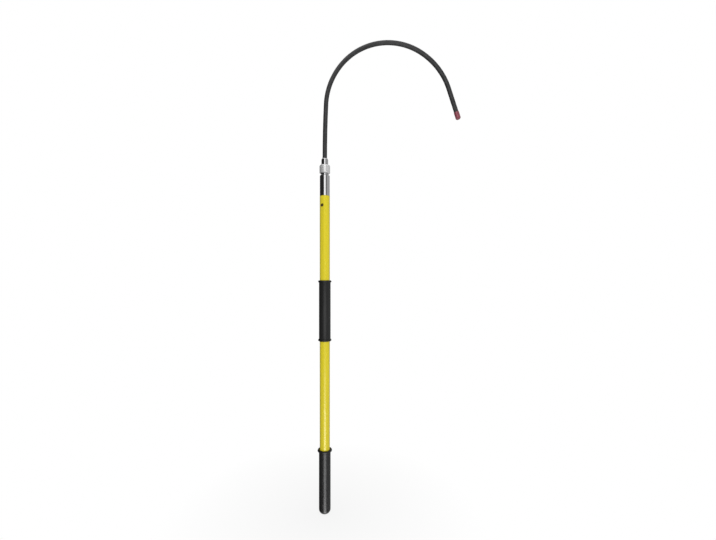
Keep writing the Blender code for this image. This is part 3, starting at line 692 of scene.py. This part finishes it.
def between(tree, factor, dark, light, low=0.35, high=0.65):
    """A colour that runs from dark to light with the factor."""
    ramp = tree.nodes.new("ShaderNodeValToRGB")
    ramp.color_ramp.elements[0].position = low
    ramp.color_ramp.elements[0].color = (*dark, 1.0)
    ramp.color_ramp.elements[1].position = high
    ramp.color_ramp.elements[1].color = (*light, 1.0)
    tree.links.new(factor, ramp.inputs["Fac"])
    return ramp.outputs["Color"]


def ranged(tree, factor, low, high, start=0.3, end=0.7):
    """A number that runs from low to high as the factor goes from start to end."""
    spread = tree.nodes.new("ShaderNodeMapRange")
    spread.inputs["From Min"].default_value = start
    spread.inputs["From Max"].default_value = end
    spread.inputs["To Min"].default_value = low
    spread.inputs["To Max"].default_value = high
    tree.links.new(factor, spread.inputs["Value"])
    return spread.outputs["Result"]


def mixed(tree, factor, first, second):
    """One colour over another by the factor."""
    mix = tree.nodes.new("ShaderNodeMix")
    mix.data_type = "RGBA"
    tree.links.new(factor, mix.inputs["Factor"])
    tree.links.new(first, mix.inputs[MIX_FIRST])
    tree.links.new(second, mix.inputs[MIX_SECOND])
    return mix.outputs[MIX_RESULT]


def surfaced(tree, shader, colour, roughness):
    """Feed the shader its colour and its roughness."""
    tree.links.new(colour, shader.inputs["Base Color"])
    tree.links.new(roughness, shader.inputs["Roughness"])


def relief(tree, shader, heights):
    """Bumps laid over each other: each is a height and its depth in metres."""
    normal = None
    for height, depth in heights:
        bump = tree.nodes.new("ShaderNodeBump")
        bump.inputs["Strength"].default_value = 1.0
        bump.inputs["Distance"].default_value = depth
        tree.links.new(height, bump.inputs["Height"])
        if normal is not None:
            tree.links.new(normal, bump.inputs["Normal"])
        normal = bump.outputs["Normal"]
    tree.links.new(normal, shader.inputs["Normal"])


def glass_fibre_finish():
    """Glossy yellow resin over fibres that run up the tube, with faint handling marks."""
    material, tree, shader = new_finish("yellow_resin", (0.74, 0.62, 0.012), roughness=0.36)
    fibres = grain(tree, scale=1400, stretch=(1, 1, 0.01))
    cloud = grain(tree, scale=9, stretch=(1, 1, 0.35), detail=3.0)
    scuffs = grain(tree, scale=420, stretch=(1, 1, 0.12), detail=6.0)
    fresh = between(tree, fibres, dark=(0.725, 0.605, 0.010), light=(0.765, 0.645, 0.014))
    worn = between(tree, fibres, dark=(0.700, 0.585, 0.016), light=(0.740, 0.625, 0.022))
    colour = mixed(tree, ranged(tree, cloud, low=0, high=1), fresh, worn)
    roughness = ranged(tree, scuffs, low=0.35, high=0.40, start=0.45, end=0.75)
    surfaced(tree, shader, colour, roughness)
    shader.inputs["Coat Weight"].default_value = 0.5
    shader.inputs["Coat Roughness"].default_value = 0.16
    relief(tree, shader, [(fibres, 0.000001), (scuffs, 0.000001)])
    return material


def grip_finish():
    """Satin black rubber with a fine moulded grain and a little dust in it."""
    material, tree, shader = new_finish("grip_rubber", (0.015, 0.015, 0.015), roughness=0.46)
    pores = grain(tree, scale=1500, detail=5.0)
    drag = grain(tree, scale=500, stretch=(1, 1, 0.06), detail=3.0)
    dust = grain(tree, scale=38, stretch=(1, 1, 0.5), detail=5.0)
    clean = between(tree, pores, dark=(0.011, 0.011, 0.011), light=(0.019, 0.019, 0.019))
    dusty = between(tree, drag, dark=(0.018, 0.018, 0.018), light=(0.028, 0.027, 0.027))
    dust_share = ranged(tree, dust, low=0, high=0.6, start=0.45, end=0.75)
    roughness = ranged(tree, drag, low=0.37, high=0.43)
    surfaced(tree, shader, mixed(tree, dust_share, clean, dusty), roughness)
    relief(tree, shader, [(pores, 0.000006), (drag, 0.000003)])
    return material


def bright_finish(name, roughness, colour=(0.90, 0.90, 0.91), metallic=1.0):
    """Bright plated metal with fine turning marks and a few smudges."""
    material, tree, shader = new_finish(name, colour, roughness, metallic)
    turning = grain(tree, scale=60, stretch=(0.2, 0.2, 60), detail=2.0)
    smudge = grain(tree, scale=70, detail=5.0)
    dull = tuple(value * DULL_SHARE for value in colour)
    tone = between(tree, smudge, dark=dull, light=colour, low=0.3, high=0.6)
    smudged = ranged(tree, smudge, roughness, roughness + SMUDGE_ROUGHNESS, start=0.45, end=0.75)
    surfaced(tree, shader, tone, smudged)
    relief(tree, shader, [(turning, 0.0000006)])
    return material


def sheath_finish():
    """Black insulating sleeve, slightly uneven, with a soft gloss."""
    material, tree, shader = new_finish("sheath_black", (0.033, 0.033, 0.034), roughness=0.34)
    waves = grain(tree, scale=90, detail=2.0)
    pores = grain(tree, scale=1400)
    colour = between(tree, waves, dark=(0.027, 0.027, 0.028), light=(0.040, 0.040, 0.041))
    surfaced(tree, shader, colour, ranged(tree, waves, low=0.30, high=0.42))
    relief(tree, shader, [(waves, 0.00004), (pores, 0.00001)])
    return material


def cap_finish():
    """Red moulded cap with a soft gloss."""
    material, tree, shader = new_finish("cap_red", (0.245, 0.048, 0.072), roughness=0.22)
    cloud = grain(tree, scale=220, detail=3.0)
    pores = grain(tree, scale=1600)
    colour = between(tree, cloud, dark=(0.225, 0.042, 0.064), light=(0.265, 0.054, 0.080))
    surfaced(tree, shader, colour, ranged(tree, cloud, low=0.18, high=0.28))
    shader.inputs["Specular IOR Level"].default_value = 0.9
    shader.inputs["Coat Weight"].default_value = 0.8
    shader.inputs["Coat Roughness"].default_value = 0.12
    relief(tree, shader, [(pores, 0.00001)])
    return material


def plain_finish(name, dark, light, roughness, metallic=0.0, scale=400, stretch=(1, 1, 1), depth=0.00002):
    """A finish of two close tones with a fine relief of the same grain."""
    material, tree, shader = new_finish(name, light, roughness, metallic)
    tone = grain(tree, scale, stretch)
    uneven = ranged(tree, tone, roughness - ROUGHNESS_SWING, roughness + ROUGHNESS_SWING)
    surfaced(tree, shader, between(tree, tone, dark, light), uneven)
    relief(tree, shader, [(tone, depth)])
    return material


def dress(piece, material):
    """Put the finish on a modelled piece."""
    piece.data.materials.clear()
    piece.data.materials.append(material)


def dress_node(name, material):
    """Put the finish on a piece that keeps its packed form."""
    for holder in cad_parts[name].material_slots:
        holder.material = material


def white_rays(nodes, links):
    """1 for the rays that see plain white, which are the camera's, mirrored and transmitted ones, else 0."""
    rays = nodes.new("ShaderNodeLightPath")
    seen = nodes.new("ShaderNodeMath")
    seen.operation = "MAXIMUM"
    links.new(rays.outputs["Is Camera Ray"], seen.inputs[0])
    links.new(rays.outputs["Is Glossy Ray"], seen.inputs[1])
    through = nodes.new("ShaderNodeMath")
    through.operation = "MAXIMUM"
    links.new(seen.outputs["Value"], through.inputs[0])
    links.new(rays.outputs["Is Transmission Ray"], through.inputs[1])
    return through.outputs["Value"]


def make_floor():
    """A pale floor that fades to the white ground away from the pole."""
    bpy.ops.object.select_all(action="DESELECT")
    bpy.ops.mesh.primitive_plane_add(size=FLOOR_SIZE, location=(0, 0, -FLOOR_DROP))
    floor = named("floor")
    material, tree, shader = new_finish("pale_floor", (0.86, 0.86, 0.86), roughness=0.9)
    shader.inputs["Specular IOR Level"].default_value = 0.0
    nodes, links = tree.nodes, tree.links
    place = nodes.new("ShaderNodeTexCoord")
    distance = nodes.new("ShaderNodeVectorMath")
    distance.operation = "LENGTH"
    links.new(place.outputs["Object"], distance.inputs[0])
    fade = ranged(
        tree,
        distance.outputs["Value"],
        FLOOR_WHITE_NEAR,
        FLOOR_WHITE_FAR,
        start=FLOOR_FADE_START,
        end=FLOOR_FADE_END,
    )
    share = nodes.new("ShaderNodeMath")
    share.operation = "MULTIPLY"
    links.new(fade, share.inputs[0])
    links.new(white_rays(nodes, links), share.inputs[1])
    white = nodes.new("ShaderNodeEmission")
    white.inputs["Color"].default_value = (1, 1, 1, 1)
    mix = nodes.new("ShaderNodeMixShader")
    links.new(share.outputs["Value"], mix.inputs["Fac"])
    links.new(shader.outputs["BSDF"], mix.inputs[1])
    links.new(white.outputs["Emission"], mix.inputs[2])
    links.new(mix.outputs["Shader"], nodes["Material Output"].inputs["Surface"])
    material.cycles.emission_sampling = "NONE"
    dress(floor, material)


def make_world():
    """White to the camera and in reflections, and a plain even level on the object."""
    world = bpy.data.worlds.new("studio")
    bpy.context.scene.world = world
    world.use_nodes = True
    nodes, links = world.node_tree.nodes, world.node_tree.links
    background = nodes["Background"]
    background.inputs["Color"].default_value = (1, 1, 1, 1)
    level = nodes.new("ShaderNodeMapRange")
    level.inputs["To Min"].default_value = WORLD_LEVEL
    level.inputs["To Max"].default_value = 1.0
    links.new(white_rays(nodes, links), level.inputs["Value"])
    links.new(level.outputs["Result"], background.inputs["Strength"])


def make_softbox():
    """A soft lamp in front, which the camera doesn't see and nothing mirrors."""
    bpy.ops.object.light_add(type="AREA", location=SOFTBOX_PLACE)
    lamp = named("front_softbox")
    lamp.data.shape = "RECTANGLE"
    lamp.data.size = SOFTBOX_WIDTH
    lamp.data.size_y = SOFTBOX_HEIGHT
    lamp.data.energy = SOFTBOX_POWER
    aim = Vector(SOFTBOX_TARGET) - Vector(SOFTBOX_PLACE)
    lamp.rotation_euler = aim.to_track_quat("-Z", "Y").to_euler()
    lamp.visible_camera = False
    lamp.visible_glossy = False


def card(name, corners, start, end, tone):
    """A studio card bent round the pole, seen only in reflections. Its corners are (radius, height), and it
    runs between two directions in degrees from the front, towards the tip's side."""
    sheet = outline(name, corners, closed=False)
    bpy.ops.object.mode_set(mode="EDIT")
    bpy.ops.mesh.select_all(action="SELECT")
    bend = math.radians(start - end)
    bpy.ops.mesh.spin(steps=CARD_SIDES, angle=bend, center=(0, 0, 0), axis=(0, 0, 1))
    bpy.ops.object.mode_set(mode="OBJECT")
    sheet.rotation_euler.z = math.radians(start - QUARTER_TURN)
    bpy.ops.object.transform_apply(rotation=True)
    material = bpy.data.materials.new(name)
    material.use_nodes = True
    nodes, links = material.node_tree.nodes, material.node_tree.links
    glow = nodes.new("ShaderNodeEmission")
    glow.inputs["Strength"].default_value = tone
    links.new(glow.outputs["Emission"], nodes["Material Output"].inputs["Surface"])
    if tone < SAMPLED_TONE:
        material.cycles.emission_sampling = "NONE"
    dress(sheet, material)
    sheet.visible_camera = False
    sheet.visible_diffuse = False
    sheet.visible_shadow = False


def make_cards():
    """Three side cards, two dim ones in front and two bright ones on the floor."""
    side = [
        (CARD_START, CARD_FLOOR),
        (CARD_NEAR, CARD_FLOOR),
        (CARD_NEAR, CARD_STEP),
        (CARD_FAR, CARD_STEP),
        (CARD_FAR, CARD_TOP),
    ]
    card("black_card", side, -CARD_BACK, WHITE_FROM, BLACK_TONE)
    card("dark_grey_card", side, WHITE_TO, GREY_FROM, DARK_GREY_TONE)
    card("grey_card", side, GREY_FROM, CARD_BACK, GREY_TONE)
    dim_low = [(CARD_NEAR, DIM_LOW), (CARD_NEAR, DIM_OPENING_LOW)]
    dim_high = [(CARD_NEAR, DIM_OPENING_HIGH), (CARD_NEAR, DIM_HIGH)]
    card("dim_low_card", dim_low, WHITE_FROM, WHITE_TO, DIM_TONE)
    card("dim_high_card", dim_high, WHITE_FROM, WHITE_TO, DIM_TONE)
    glow = [(CARD_START, CARD_FLOOR), (GLOW_END, CARD_FLOOR)]
    glow_fade = [(GLOW_END, CARD_FLOOR), (GLOW_FADE_END, CARD_FLOOR)]
    card("glow_card", glow, GLOW_FROM, WHITE_TO, GLOW_TONE)
    card("glow_fade_card", glow_fade, GLOW_FROM, WHITE_TO, GLOW_FADE_TONE)


def make_camera():
    """The camera, and the plain view that the tones are set for."""
    camera_data = bpy.data.cameras.new("view")
    camera = bpy.data.objects.new("view", camera_data)
    bpy.context.scene.collection.objects.link(camera)
    camera.location = (CAMERA_ACROSS, -CAMERA_AWAY, CAMERA_HEIGHT)
    camera.rotation_euler = (math.pi / 2, 0, 0)
    camera_data.lens = CAMERA_LENS
    camera_data.shift_y = CAMERA_SHIFT_UP
    bpy.context.scene.camera = camera
    bpy.context.scene.view_settings.view_transform = "Standard"


def dress_packed_nodes(steel):
    """Put finishes on the pieces that keep their packed form."""
    for name in ("index_pin", "ferrule_pin", "hook_core"):
        dress_node(name, steel)
    seal = plain_finish("seal_rubber", (0.016, 0.016, 0.016), (0.026, 0.026, 0.026), 0.5, scale=1500)
    for name in ("adapter_seal", "nut_friction_ring", "foam_seal"):
        dress_node(name, seal)
    plastic = plain_finish("black_plastic", (0.030, 0.030, 0.030), (0.042, 0.042, 0.042), 0.5, scale=900)
    for name in ("butt_plug", "tip_plug"):
        dress_node(name, plastic)
    foam = plain_finish("foam", (0.48, 0.40, 0.24), (0.64, 0.54, 0.33), 0.9, scale=700, depth=0.0002)
    dress_node("foam_core", foam)
    brass = plain_finish("brass", (0.62, 0.44, 0.16), (0.72, 0.52, 0.20), 0.3, metallic=1.0, scale=500)
    dress_node("button_retainer", brass)
    slip = plain_finish("slip_washer", (0.62, 0.60, 0.52), (0.72, 0.70, 0.62), 0.5, scale=600)
    dress_node("thrust_washer", slip)


def main():
    """Make the pieces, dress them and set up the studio."""
    tube = make_pole()
    lower_grip = make_lower_grip()
    middle_grip = make_middle_grip()
    adapter = make_adapter()
    outside_thread, inside_thread = make_threads()
    button, coil = make_button()
    ferrule = make_ferrule()
    nut = make_nut()
    sheath, tip, along = make_sheath()
    cap = make_cap(tip, along)

    dress(tube, glass_fibre_finish())
    rubber = grip_finish()
    dress(lower_grip, rubber)
    dress(middle_grip, rubber)
    plate = bright_finish("bright_plate", 0.06)
    dress(adapter, plate)
    dress(ferrule, plate)
    knurled = bright_finish("knurled_plate", 0.24, colour=(0.92, 0.92, 0.92), metallic=0.58)
    dress(nut, knurled)
    dress(outside_thread, knurled)
    dress(inside_thread, knurled)
    dress(sheath, sheath_finish())
    dress(cap, cap_finish())
    # Painted shade: the button's steel is given a dark brown colour that stands for the shade of its hole
    # and the dark reflections on it, not a browned finish.
    dress(button, plain_finish("button_steel_painted_shade", (0.050, 0.031, 0.005), (0.068, 0.043, 0.008), 0.4))
    steel = plain_finish(
        "plain_steel",
        (0.42, 0.42, 0.43),
        (0.52, 0.52, 0.53),
        0.3,
        metallic=1.0,
        scale=900,
        stretch=(1, 1, 0.1),
        depth=0.000004,
    )
    dress(coil, steel)
    dress_packed_nodes(steel)

    make_floor()
    make_world()
    make_softbox()
    make_cards()
    make_camera()


main()
